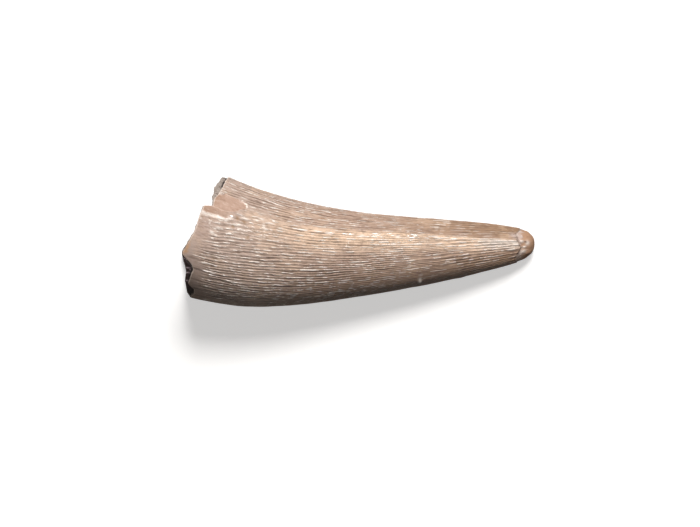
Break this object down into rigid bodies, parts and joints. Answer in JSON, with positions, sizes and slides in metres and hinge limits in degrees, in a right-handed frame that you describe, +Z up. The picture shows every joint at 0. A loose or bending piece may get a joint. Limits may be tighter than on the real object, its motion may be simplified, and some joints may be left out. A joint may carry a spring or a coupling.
{
  "type": "fossil reptile tooth",
  "caption": "Long curved fossil reptile tooth lying on its side, finely ridged, with a rounded keel, a worn apex and a broken hollow base.",
  "frame": {"origin": "middle of the lower face of the bounding box, on the surface that the tooth lies on", "axes": "+X from the broken base towards the apex, +Y towards the concave side, +Z up from the surface that it lies on"},
  "size_m": [0.0444, 0.0164, 0.0135],
  "materials": {
    "fossil_enamel": "Fossil enamel and dentine, pinkish tan with browner dentine, satin on the ridges' crests and duller between them"
  },
  "bodies": {
    "root": {"tooth": "fossil_enamel"}
  },
  "joints": []
}
